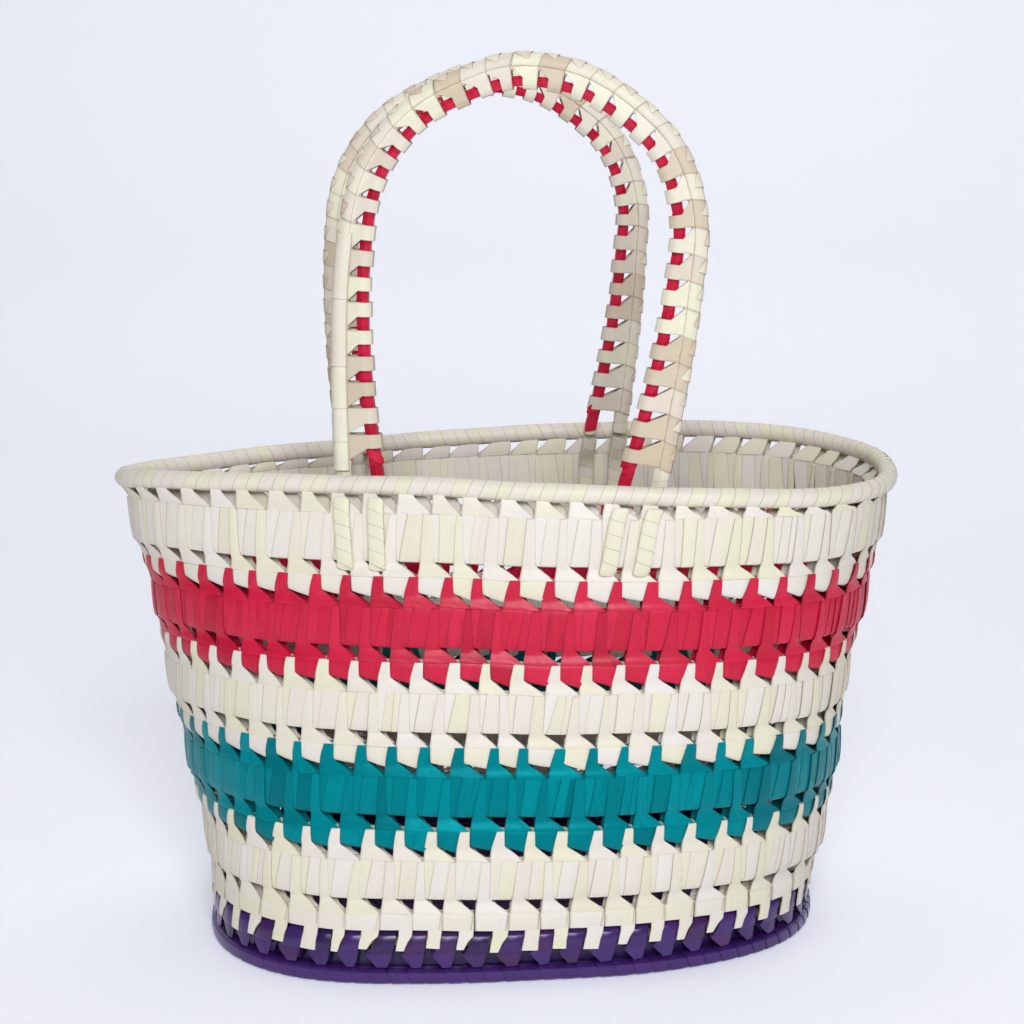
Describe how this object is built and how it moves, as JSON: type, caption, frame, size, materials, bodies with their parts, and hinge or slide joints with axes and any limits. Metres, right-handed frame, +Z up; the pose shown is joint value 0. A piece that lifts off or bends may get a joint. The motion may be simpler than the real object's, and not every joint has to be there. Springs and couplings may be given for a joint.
{
  "type": "coiled market basket",
  "caption": "Oval open-topped market basket, coiled and knot-stitched from palm leaf in coloured bands, with a foot ring, a round rope rim and two laced arched rod handles.",
  "frame": {"origin": "under the middle of the basket, on the plane that it stands on", "axes": "+Z up, +X along the basket to the right as seen from the front, -Y towards the front handle's side"},
  "size_m": [0.3999, 0.2366, 0.4393],
  "materials": {
    "natural_leaf": "undyed palm leaf strip, satin",
    "red_leaf": "crimson dyed palm leaf strip, satin",
    "teal_leaf": "teal dyed palm leaf strip, satin",
    "purple_leaf": "deep purple dyed palm leaf strip, satin",
    "leaf_core": "bundle of dry leaf ribs, matt"
  },
  "bodies": {
    "basket": {"base_mat": "purple_leaf", "foot_coil_wrap": "purple_leaf", "foot_coil_core": "leaf_core", "purple_coil": "purple_leaf", "low_natural_coil": "natural_leaf", "low_natural_band_wrap": "natural_leaf", "low_natural_band_core": "leaf_core", "teal_coil": "teal_leaf", "teal_band_wrap": "teal_leaf", "teal_band_core": "leaf_core", "mid_natural_coil": "natural_leaf", "mid_natural_band_wrap": "natural_leaf", "mid_natural_band_core": "leaf_core", "red_coil": "red_leaf", "red_band_wrap": "red_leaf", "red_band_core": "leaf_core", "top_natural_coil": "natural_leaf", "top_natural_band_wrap": "natural_leaf", "top_natural_band_core": "leaf_core", "rim_wrap": "natural_leaf", "rim_core": "leaf_core", "front_handle_outer_tail_left": "natural_leaf", "front_handle_outer_tail_right": "natural_leaf", "front_handle_inner_tail_left": "natural_leaf", "front_handle_inner_tail_right": "natural_leaf", "back_handle_outer_tail_left": "natural_leaf", "back_handle_outer_tail_right": "natural_leaf", "back_handle_inner_tail_left": "natural_leaf", "back_handle_inner_tail_right": "natural_leaf"},
    "front_handle": {"front_handle_outer_wrap": "natural_leaf", "front_handle_outer_core": "leaf_core", "front_handle_inner_wrap": "red_leaf", "front_handle_inner_core": "leaf_core", "front_handle_lace": "natural_leaf"},
    "back_handle": {"back_handle_outer_wrap": "natural_leaf", "back_handle_outer_core": "leaf_core", "back_handle_inner_wrap": "red_leaf", "back_handle_inner_core": "leaf_core", "back_handle_lace": "natural_leaf"}
  },
  "joints": [
    {"name": "front_handle_lean", "type": "hinge", "parent": "basket", "child": "front_handle", "pos_m": [-0.00034, -0.07555, 0.23458], "axis": [-0.9934, 0.1124, 0.0237], "range_deg": [-10, 18], "stiffness_Nm_per_rad": 0.8},
    {"name": "back_handle_lean", "type": "hinge", "parent": "basket", "child": "back_handle", "pos_m": [-0.01347, 0.07398, 0.2345], "axis": [0.9899, 0.1375, 0.0351], "range_deg": [-10, 18], "stiffness_Nm_per_rad": 0.8}
  ]
}
